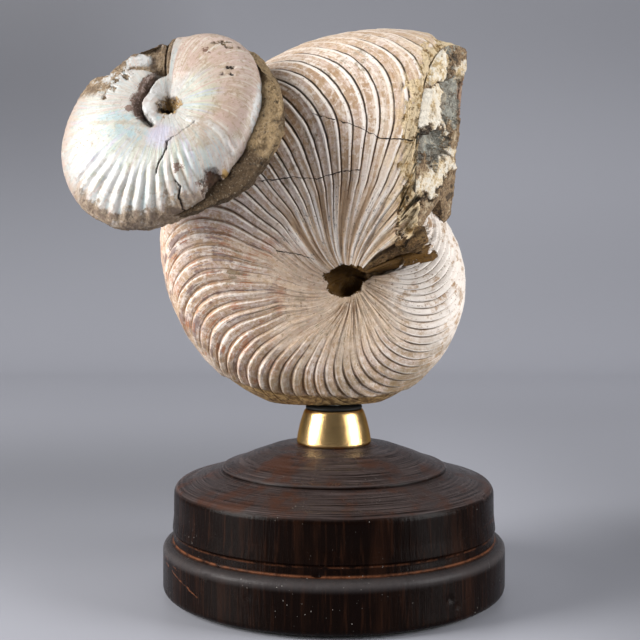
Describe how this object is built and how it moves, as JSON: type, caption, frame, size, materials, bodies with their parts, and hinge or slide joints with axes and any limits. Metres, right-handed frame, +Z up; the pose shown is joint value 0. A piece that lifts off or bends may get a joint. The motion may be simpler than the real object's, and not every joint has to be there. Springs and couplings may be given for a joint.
{
  "type": "fossil nautilus half on stand",
  "caption": "Ribbed fossil nautilus cut in half, with a small pearly ammonite in sandstone, set on a brass collar over a turned dark wooden base.",
  "frame": {"origin": "centre of the felt pad's underside, on the surface that the stand rests on", "axes": "+Z up, +X to the right of the shown ribbed flank, the shown flank faces -Y and the flat cut faces +Y"},
  "size_m": [0.2198, 0.1774, 0.2896],
  "materials": {
    "fossil_shell": "satin pinkish-beige fossil shell with whitish ribs, brown and orange stains",
    "pearly_shell": "glossy mother-of-pearl with pale pink, green and blue play of colour",
    "sandstone": "rough olive-brown gritty sandstone",
    "black_rubber": "matt black rubber",
    "brass": "turned and brushed brass",
    "dark_wood": "nearly black stained wood, satin, worn orange-brown at its edges",
    "zinc_steel": null,
    "black_felt": null
  },
  "bodies": {
    "root": {"nautilus": "fossil_shell", "ammonite": "pearly_shell", "matrix_stone": "sandstone", "rubber_washer": "black_rubber", "brass_collar": "brass", "wood_base": "dark_wood", "threaded_rod": "zinc_steel", "steel_washer": "zinc_steel", "hex_nut": "zinc_steel", "felt_pad": "black_felt"}
  },
  "joints": []
}
